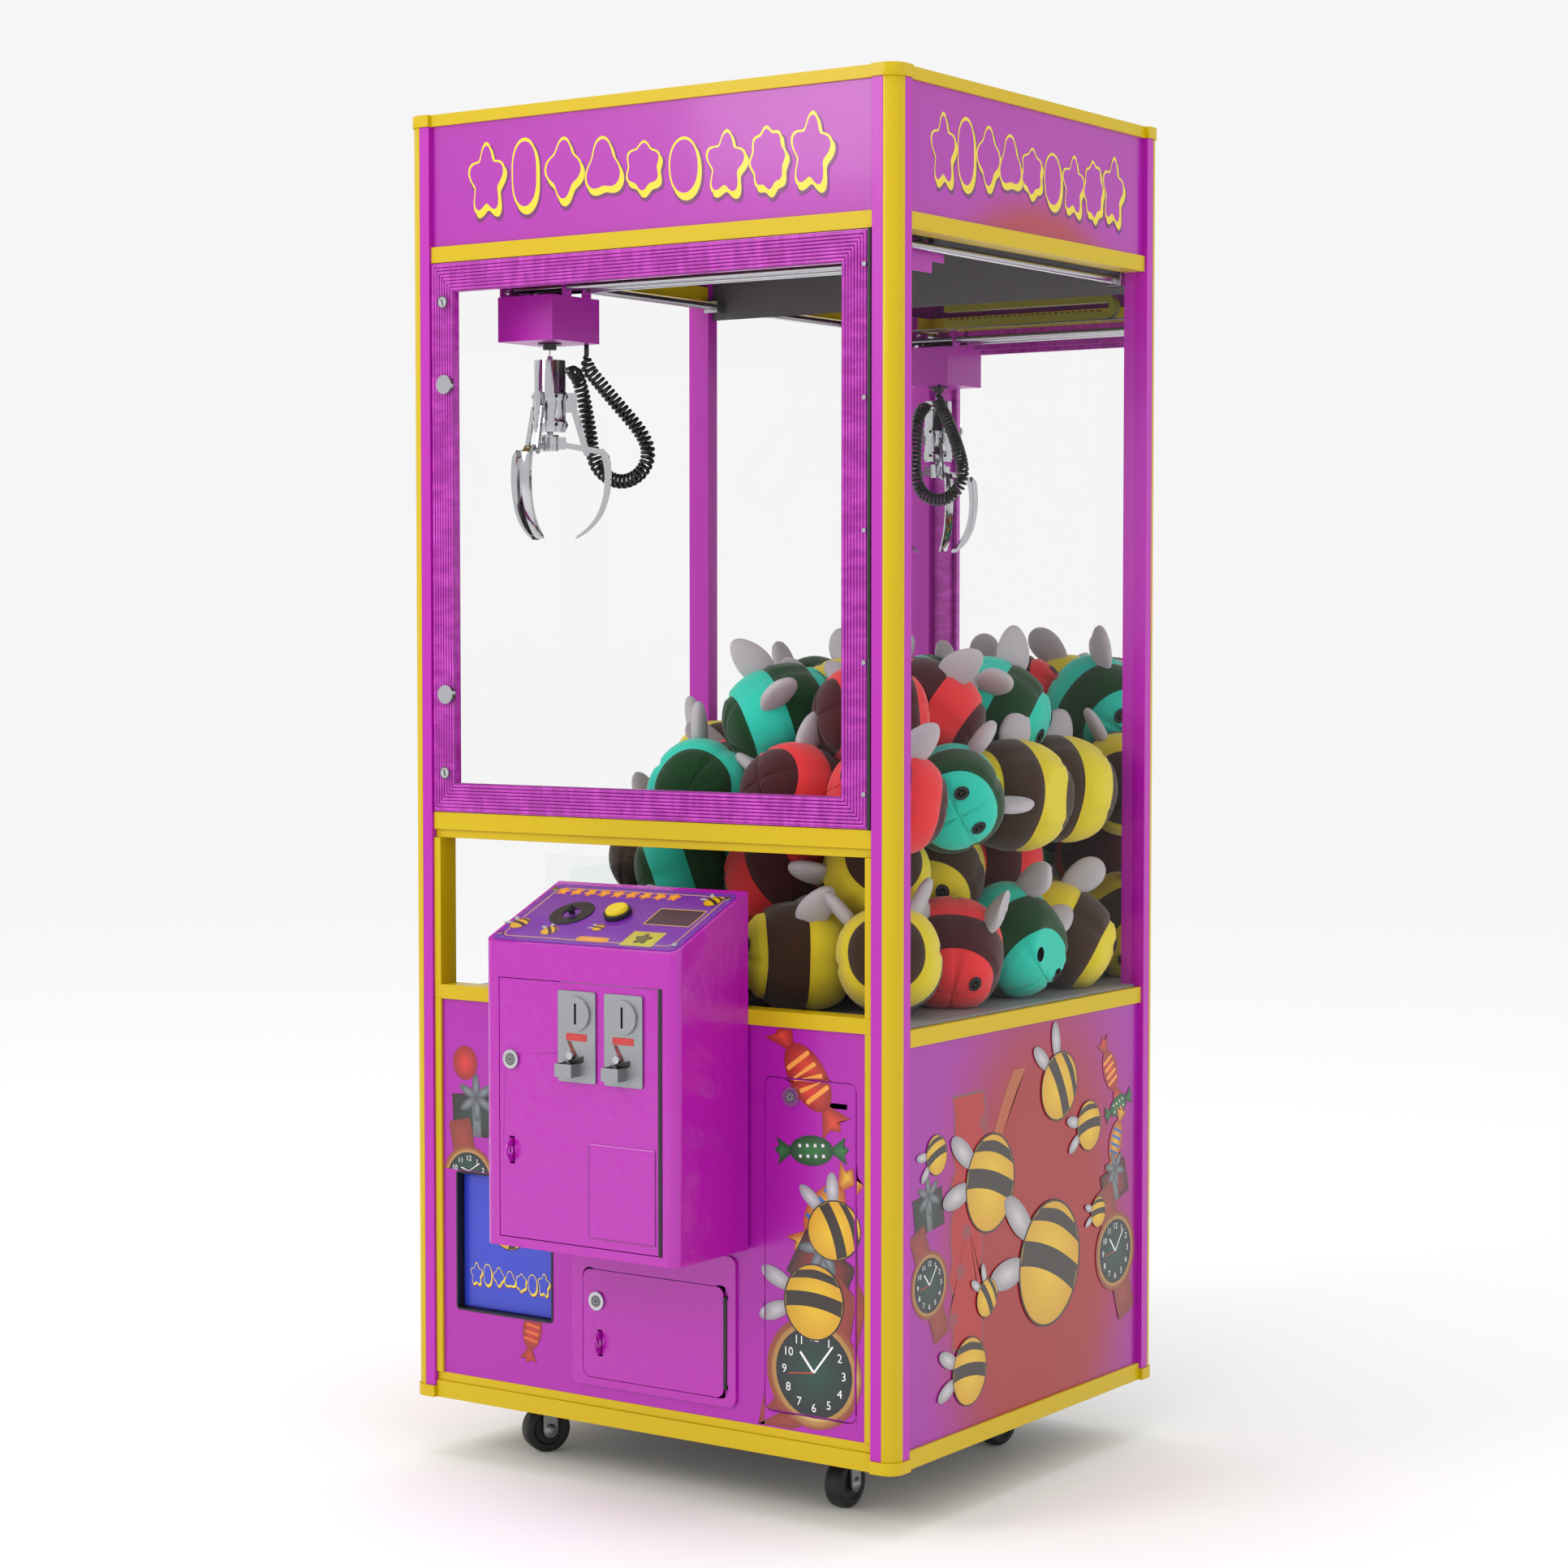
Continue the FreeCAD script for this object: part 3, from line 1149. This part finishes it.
def make_trolley():
    """Sheet trolley box under the cross rails, its hangers and rollers, and the hoist in it."""
    x = "claw_x - trolley_left"
    y = "claw_y - trolley_ahead"
    z = "base + trolley_low"
    width = "(trolley_left + trolley_right)"
    depth = "(trolley_ahead + trolley_behind)"
    shell = less("trolley_shell", block("trolley_case", (x, y, z), (width, depth, "trolley_height")),
                 block("trolley_hollow", (f"{x} + trolley_wall", f"{y} + trolley_wall", f"{z} + trolley_wall"),
                       (f"{width} - 2 * trolley_wall", f"{depth} - 2 * trolley_wall", "trolley_height")),
                 rod("trolley_wire_hole", ("claw_x", "claw_y", f"{z} - 1"), "gland_bore", "4 * trolley_wall"),
                 rod("trolley_cord_hole", ("claw_x + 30", "claw_y + 45", f"{z} - 1"), "relief_radius",
                     "4 * trolley_wall"))
    pieces = [shell]
    roller_z = "base + cross_rail_level + cross_rail_radius + roller_gap + trolley_roller_radius"
    for side, low_x, roller_x in (
        ("left", x, f"{x} + trolley_wall"),
        ("right", f"claw_x + trolley_right - trolley_wall",
         f"claw_x + trolley_right - trolley_wall - trolley_roller_width"),
    ):
        for name, offset in (("ahead", "-cross_rail_spread"), ("behind", "cross_rail_spread")):
            roller_y = f"claw_y + {offset}"
            plate = block(f"hanger_{side}_{name}", (low_x, f"{roller_y} - 1.6 * trolley_roller_radius",
                                                    f"{z} + trolley_height - 1"),
                          ("trolley_wall", "3.2 * trolley_roller_radius", "hanger_height - trolley_height + 1"))
            hole = rod(f"hanger_hole_{side}_{name}", (f"{low_x} - 1", roller_y, "base + cross_rail_level"),
                       "cross_rail_radius + roller_gap", "trolley_wall + 2", "X")
            pieces.append(less(f"hanger_cut_{side}_{name}", plate, hole))
            pieces.append(rod(f"trolley_roller_{side}_{name}", (roller_x, roller_y, roller_z),
                              "trolley_roller_radius", "trolley_roller_width", "X"))
    keep(joined("trolley", pieces), "trolley_box")
    neck = "gland_neck"
    gland = less("gland", joined("gland_form", [
        rod("gland_flange", ("claw_x", "claw_y", f"{z} - gland_wall"), "gland_radius", "gland_wall"),
        rod("gland_tube", ("claw_x", "claw_y", f"{z} - gland_wall - {neck}"), "gland_neck_radius", neck),
    ]), rod("gland_hole", ("claw_x", "claw_y", f"{z} - 4 * gland_neck"), "gland_bore", "8 * gland_neck"))
    relief = rod("cord_relief", ("claw_x + 30", "claw_y + 45", f"{z} - relief_length"), "relief_radius",
                 "relief_length")
    drum = rod("hoist_drum", ("claw_x - trolley_left + trolley_wall", "claw_y - drum_radius - cable_radius",
                              f"{z} + trolley_height / 2"), "drum_radius", "drum_length", "X")
    motor = rod("hoist_motor", ("claw_x - trolley_left + trolley_wall + drum_length",
                                "claw_y - drum_radius - cable_radius", f"{z} + trolley_height / 2"),
                "motor_radius", "motor_length", "X")
    together("hoist_parts", [gland, relief, joined("winch", [drum, motor])])


def bar_between(start, end, half, wall, low):
    """Flat link in the radial plane (x outwards, z up): a straight bar with round ends, its wall along y."""
    along = end - start
    length = along.Length
    turn = math.degrees(math.atan2(along.z, along.x))
    bar = Part.makeBox(length, wall, 2 * half, Vector(0, 0, -half))
    for reach in (0, length):
        bar = bar.fuse(Part.makeCylinder(half, wall, Vector(reach, 0, 0), Vector(0, 1, 0)))
    bar.rotate(Vector(), Vector(0, 1, 0), -turn)
    bar.translate(Vector(start.x, low, start.z))
    return bar.removeSplitter()


def claw_body_shape():
    """Coil housing with its two collars, three lugs and three links; z = 0 at its top."""
    size = SIZES
    height = size["coil_height"]
    radius = size["coil_radius"]
    body = Part.makeCylinder(radius, height, Vector(0, 0, -height))
    for drop in (size["upper_ring_drop"], size["lower_ring_drop"]):
        low = -drop - size["collar_ring_height"]
        body = body.fuse(Part.makeCylinder(size["collar_ring_radius"], size["collar_ring_height"], Vector(0, 0, low)))
    body = body.fuse(Part.makeCylinder(size["eye_radius"], size["eye_height"]))
    gland = Part.makeCylinder(size["cord_gland_radius"], 15, Vector(4, radius - 1, -11.5), Vector(0, 1, 0))
    body = body.fuse(gland)
    top = Vector(size["link_top_reach"], 0, -size["link_top_drop"])
    foot = Vector(size["link_low_reach"], 0, -size["link_low_drop"])
    side = size["lug_wall"] / 2 + size["link_gap"]
    for turn in (45, 165, 285):
        lug = Part.makeBox(size["lug_reach"] - radius + 2, size["lug_wall"],
                           size["lug_drop"] - size["upper_ring_drop"],
                           Vector(radius - 2, -size["lug_wall"] / 2, -size["lug_drop"]))
        link = bar_between(top, foot, size["link_half"], size["link_wall"], side)
        pin = Part.makeCylinder(size["pin_radius"], side + size["link_wall"] + 1.5 + size["lug_wall"] / 2 + 1,
                                Vector(top.x, -size["lug_wall"] / 2 - 1, top.z), Vector(0, 1, 0))
        stud = Part.makeCylinder(size["pin_radius"] + 1, 1.6, Vector(foot.x, side + size["link_wall"], foot.z),
                                 Vector(0, 1, 0))
        for piece in (lug, link, pin, stud):
            piece.rotate(Vector(), Vector(0, 0, 1), turn)
            body = body.fuse(piece)
    bore = Part.makeCylinder(size["coil_bore"], height * 0.6, Vector(0, 0, -height))
    return body.cut(bore).removeSplitter()


def plunger_shape():
    """Plunger hub with its rod and three clevises; z = 0 at the claw's top."""
    size = SIZES
    low = -size["plunger_drop"] - size["plunger_height"]
    hub = Part.makeCylinder(size["plunger_radius"], size["plunger_height"], Vector(0, 0, low))
    hub = hub.fuse(Part.makeCylinder(size["rod_radius"], size["rod_length"], Vector(0, 0, -size["plunger_drop"])))
    inner = size["finger_arm_wall"] / 2 + size["clevis_gap"]
    for turn in (45, 165, 285):
        for side in (inner, -inner - size["clevis_wall"]):
            cheek = Part.makeBox(size["clevis_reach"] - 8, size["clevis_wall"], size["plunger_height"] - 6,
                                 Vector(8, side, low + 3))
            cheek.rotate(Vector(), Vector(0, 0, 1), turn)
            hub = hub.fuse(cheek)
    slots = []
    for turn in (45, 165, 285):
        slot = Part.makeBox(20, 2 * inner, size["plunger_height"] + 2,
                            Vector(size["finger_pivot_reach"] - size["finger_arm_half"] - 1.2, -inner, low - 1))
        slot.rotate(Vector(), Vector(0, 0, 1), turn)
        slots.append(slot)
    for slot in slots:
        hub = hub.cut(slot)
    return hub.removeSplitter()


def finger_shape():
    """Finger in the radial plane: flat arm from the plunger to the elbow, then a wider curved blade; z = 0 at the claw's top."""
    size = SIZES
    pivot = Vector(size["finger_pivot_reach"], 0, -size["finger_pivot_drop"])
    elbow = Vector(74, 0, -127)
    wall = size["finger_arm_wall"]
    arm = bar_between(pivot, elbow, size["finger_arm_half"], wall, -wall / 2)
    outer = [Vector(74, 0, -122), Vector(83, 0, -131), Vector(86, 0, -160), Vector(75, 0, -212), Vector(34.7, 0, -249.3)]
    inner = [Vector(37.5, 0, -244), Vector(69, 0, -208), Vector(77, 0, -160), Vector(72, 0, -131)]
    shoulder = Part.LineSegment(outer[0], outer[1]).toShape()
    back = Part.Arc(outer[1], outer[2], outer[3]).toShape()
    sweep = Part.Arc(outer[3], Vector(57.5, 0, -234.5), outer[4]).toShape()
    tip = Part.LineSegment(outer[4], inner[0]).toShape()
    bow = Part.Arc(inner[0], Vector(56, 0, -228.5), inner[1]).toShape()
    belly = Part.Arc(inner[1], inner[2], inner[3]).toShape()
    close = Part.LineSegment(inner[3], outer[0]).toShape()
    face = Part.Face(Part.Wire([shoulder, back, sweep, tip, bow, belly, close]))
    width = size["finger_blade_width"]
    blade = face.extrude(Vector(0, width, 0))
    blade.translate(Vector(0, -width / 2, 0))
    pin = Part.makeCylinder(size["pin_radius"] - 0.5, wall, Vector(pivot.x, -wall / 2, pivot.z), Vector(0, 1, 0))
    return arm.fuse(blade).fuse(pin).removeSplitter()


def shaped(label, shape, x, y, z, turn=0):
    """Sub-part from a ready shape, turned about Z and put in its place."""
    piece = doc.addObject("Part::Feature", label)
    piece.Shape = shape
    piece.Placement = Placement(Vector(), Rotation(Vector(0, 0, 1), turn))
    put(piece, x, y, z)
    return keep(piece, label)


def make_claw():
    """Claw under the trolley: coil housing, plunger and three fingers at equal angles."""
    place = ("claw_x", "claw_y", "claw_top")
    shaped("claw_body", claw_body_shape(), *place)
    shaped("plunger", plunger_shape(), *place)
    for letter, turn in (("a", 45), ("b", 165), ("c", 285)):
        shaped(f"finger_{letter}", finger_shape(), *place, turn)
    keep(rod("wire", ("claw_x", "claw_y", "claw_top + eye_height"), "cable_radius",
             "claw_top_drop - eye_height + trolley_wall"), "hoist_cable")


# Route of the curly cord from the trolley down, round and up to the claw, from the claw's axis and the
# underside of the trolley. Its turns are taken by arcs.
CORD_ROUTE = [
    (30, 45, -16), (30, 45, -32), (45, 50.5, -50), (62, 59.5, -73), (79, 71, -97), (96, 84, -122),
    (105, 91, -147), (99, 92, -170), (81, 91.5, -186), (58, 90.5, -192), (35, 88.5, -186), (17, 85.5, -171),
    (9, 84, -149), (7.5, 82, -125), (5, 78, -99), (3, 72, -72), (2.5, 64, -50), (4, 51, -35.5), (4, 36, -35.5),
]


def smooth_path(points):
    """Straight runs joined by tangent arcs; each arc's radius is 0.45 of the shorter run over the tangent of half the turn."""
    edges = []
    start = points[0]
    length = 0
    radii = []
    for before, corner, after in zip(points, points[1:], points[2:]):
        into = corner - before
        out = after - corner
        half_turn = into.getAngle(out) / 2
        reach = 0.45 * min(into.Length, out.Length)
        radius = reach / math.tan(half_turn)
        radii.append(radius)
        into.normalize()
        out.normalize()
        first = corner - into * reach
        last = corner + out * reach
        bisector = out - into
        bisector.normalize()
        middle = corner + bisector * (radius / math.cos(half_turn) - radius)
        edges.append(Part.LineSegment(start, first).toShape())
        edges.append(Part.Arc(first, middle, last).toShape())
        length += (first - start).Length + 2 * half_turn * radius
        start = last
    edges.append(Part.LineSegment(start, points[-1]).toShape())
    length += (points[-1] - start).Length
    return Part.Wire(edges), length, radii


def make_cord():
    """Outer form of the curly cord: one round tube along its route."""
    points = [Vector(*point) for point in CORD_ROUTE]
    path, length, radii = smooth_path(points)
    radius = SIZES["cord_radius"]
    ring = Part.Wire([Part.Circle(points[0], points[1] - points[0], radius).toShape()])
    tube = path.makePipeShell([ring], True, False)
    if tube.Volume < 0:
        tube.reverse()
    expected = math.pi * radius * radius * length
    print("cord route", round(length, 1), "mm; radii", [round(value) for value in radii])
    print("cord volume over section times length", round(tube.Volume / expected, 4))
    shaped("curly_cord", tube, "claw_x", "claw_y", "base + trolley_low")


def make_cable_chain():
    """Cable chain of the trolley: lower run, half turn at its right end, upper run back to the bridge."""
    size = SIZES
    height = size["chain_height"]
    turn = size["chain_turn_radius"]
    start = size["claw_x"] + size["trolley_right"]
    length = size["chain_right"] - start
    lower = Part.makeBox(length, size["chain_width"], height)
    upper = Part.makeBox(length, size["chain_width"], height, Vector(0, 0, height + 2 * turn))
    middle = Vector(length, 0, height + turn)
    bend = Part.makeCylinder(height + turn, size["chain_width"], middle, Vector(0, 1, 0))
    bend = bend.cut(Part.makeCylinder(turn, size["chain_width"], middle, Vector(0, 1, 0)))
    bend = bend.cut(Part.makeBox(2 * height + 2 * turn, size["chain_width"], 4 * height + 4 * turn,
                                 middle - Vector(2 * height + 2 * turn, 0, 2 * height + 2 * turn)))
    shaped("energy_chain", lower.fuse(upper).fuse(bend).removeSplitter(), "claw_x + trolley_right",
           "claw_y + chain_behind - chain_width", "base + chain_low")


def wheel_shape():
    """Caster wheel about the Y axis: round-shouldered tyre, dished sides and bore."""
    size = SIZES
    half = size["wheel_width"] / 2
    radius = size["wheel_radius"]
    shoulder = size["wheel_round"]
    bore = size["axle_radius"] + size["axle_slack"]
    dish = size["wheel_dish_radius"]
    depth = size["wheel_dish_depth"]
    bow = shoulder * math.sin(math.radians(45))
    corners = [
        Vector(bore, -half + depth, 0), Vector(dish, -half + depth, 0), Vector(dish + depth, -half, 0),
        Vector(radius - shoulder, -half, 0),
    ]
    arc = Part.Arc(corners[3], Vector(radius - shoulder + bow, -half + shoulder - bow, 0),
                   Vector(radius, -half + shoulder, 0)).toShape()
    edges = [Part.LineSegment(a, b).toShape() for a, b in zip(corners, corners[1:])] + [arc]
    edges.append(Part.LineSegment(Vector(radius, -half + shoulder, 0), Vector(radius, half - shoulder, 0)).toShape())
    edges.append(Part.Arc(Vector(radius, half - shoulder, 0),
                          Vector(radius - shoulder + bow, half - shoulder + bow, 0),
                          Vector(radius - shoulder, half, 0)).toShape())
    back = [Vector(point.x, -point.y, 0) for point in reversed(corners)]
    edges += [Part.LineSegment(a, b).toShape() for a, b in zip(back, back[1:])]
    edges.append(Part.LineSegment(back[-1], corners[0]).toShape())
    return Part.Face(Part.Wire(edges)).revolve(Vector(), Vector(0, 1, 0), 360)


def fork_shape():
    """Caster fork about its swivel axis: race, crown, two legs and the axle with domed bolt heads; z = 0 on the floor."""
    size = SIZES
    crown = size["caster_height"] - size["caster_plate_wall"] - size["race_height"] - size["race_gap"]
    inner = size["wheel_width"] / 2 + size["fork_gap"]
    wall = size["fork_wall"]
    half = size["fork_leg_half"]
    trail = size["caster_trail"]
    radius = size["wheel_radius"]
    fork = Part.makeCylinder(size["race_radius"], size["race_height"], Vector(0, 0, crown))
    fork = fork.fuse(Part.makeBox(trail + half, 2 * (inner + wall), wall, Vector(-size["race_radius"] + 4,
                                                                              -inner - wall, crown - wall)))
    low_edge = [
        Vector(-size["race_radius"] + 4, 0, crown), Vector(trail - 7, 0, crown), Vector(trail + half, 0, crown - 22),
        Vector(trail + half, 0, radius), Vector(trail - half, 0, radius), Vector(trail - half, 0, radius + 18),
    ]
    leg = Part.Face(Part.makePolygon(low_edge + [low_edge[0]])).extrude(Vector(0, wall, 0))
    leg = leg.fuse(Part.makeCylinder(half, wall, Vector(trail, 0, radius), Vector(0, 1, 0)))
    for low in (inner, -inner - wall):
        side = leg.copy()
        side.translate(Vector(0, low, 0))
        fork = fork.fuse(side)
    reach = inner + wall
    fork = fork.fuse(Part.makeCylinder(size["axle_radius"], 2 * reach, Vector(trail, -reach, radius), Vector(0, 1, 0)))
    bolt = size["bolt_radius"]
    rise = size["bolt_height"]
    ball = (bolt * bolt + rise * rise) / (2 * rise)
    for sign in (1, -1):
        dome = Part.makeSphere(ball, Vector(trail, sign * (reach + rise - ball), radius))
        keep_side = Part.makeBox(4 * ball, 4 * ball, 4 * ball,
                                 Vector(trail - 2 * ball, reach if sign > 0 else -reach - 4 * ball, radius - 2 * ball))
        fork = fork.fuse(dome.common(keep_side))
    return fork.removeSplitter()


def make_casters():
    """Four swivel casters: plates under the base, forks turned as they stand, and wheels."""
    plates = []
    places = [
        ("front_left", "-caster_x", "middle - caster_y", 240), ("front_right", "caster_x", "middle - caster_y", 271),
        ("back_left", "-caster_x", "middle + caster_y", 250), ("back_right", "caster_x", "middle + caster_y", 261),
    ]
    for name, x, y, turn in places:
        half = "caster_plate_side / 2"
        plates.append(block(f"plate_{name}", (f"{x} - {half}", f"{y} - {half}", "caster_height - caster_plate_wall"),
                            ("caster_plate_side", "caster_plate_side", "caster_plate_wall")))
        shaped(f"caster_fork_{name}", fork_shape(), x, y, "0", turn)
        trail = "caster_trail"
        shaped(f"caster_wheel_{name}", wheel_shape(), f"{x} + {trail} * cos({turn} * 1deg)",
               f"{y} + {trail} * sin({turn} * 1deg)", "wheel_radius", turn)
    together("caster_plates", plates)


def make_toys():
    """Heap of soft toys, one ball each, stacked in layers where the heap's slope has room."""
    size = SIZES
    radius = size["toy_radius"]
    pitch = size["toy_pitch"]
    toys = []
    wall = size["cabinet_width"] / 2 - size["glass_recess"] - size["glass_wall"]
    chute_edge = -size["chute_right"] + size["guard_wall"]
    chute_back = size["chute_back"] + size["guard_wall"]
    for layer in range(size["toy_layers"]):
        shift = pitch / 2 if layer % 2 else 0
        for column in range(5):
            for line in range(4):
                x = size["toy_right"] - shift - column * pitch
                y = size["toy_back"] + 18 - shift - line * pitch
                over_chute = x - radius < chute_edge and y - radius < chute_back
                outside = x - radius < -wall or y - radius < size["post_side"]
                slope = 1.15 * (x + wall) / wall + 0.9 * y / size["toy_back"]
                if over_chute or outside or slope < size["toy_slope"] * layer:
                    continue
                toy = doc.addObject("Part::Sphere", f"toy_{layer}_{column}_{line}")
                bind(toy, Radius="toy_radius")
                toys.append(put(toy, str(x), f"front + {y}", f"deck_top + toy_radius + {layer} * toy_layer"))
    print("toys", len(toys))
    together("plush_toys", toys)


make_posts()
make_corner_trims()
make_frame_rails()
make_panels()
make_panes()
make_front_panel()
make_base()
make_deck()
make_prize_flap()
make_window_door()
make_hinges()
make_control_box()
make_panel_overlay()
make_panel_fittings()
make_joystick()
make_button()
make_screws()
make_coin_door()
make_cash_door()
make_access_door()
make_gantry_rails()
make_bridge()
make_trolley()
make_claw()
make_cord()
make_cable_chain()
make_casters()
make_toys()
doc.recompute()

failed = [item.Name for item in doc.Objects if "Invalid" in item.State or "Error" in item.State]
for piece in subparts:
    if piece.Shape.isNull() or not piece.Shape.isValid() or piece.Shape.Volume <= 0:
        failed.append(piece.Label)
if failed:
    raise RuntimeError("these did not build: " + ", ".join(failed))
os.makedirs("parts", exist_ok=True)
for piece in subparts:
    piece.Shape.exportStep(os.path.join("parts", piece.Label + ".step"))
print(len(subparts), "sub-parts written")
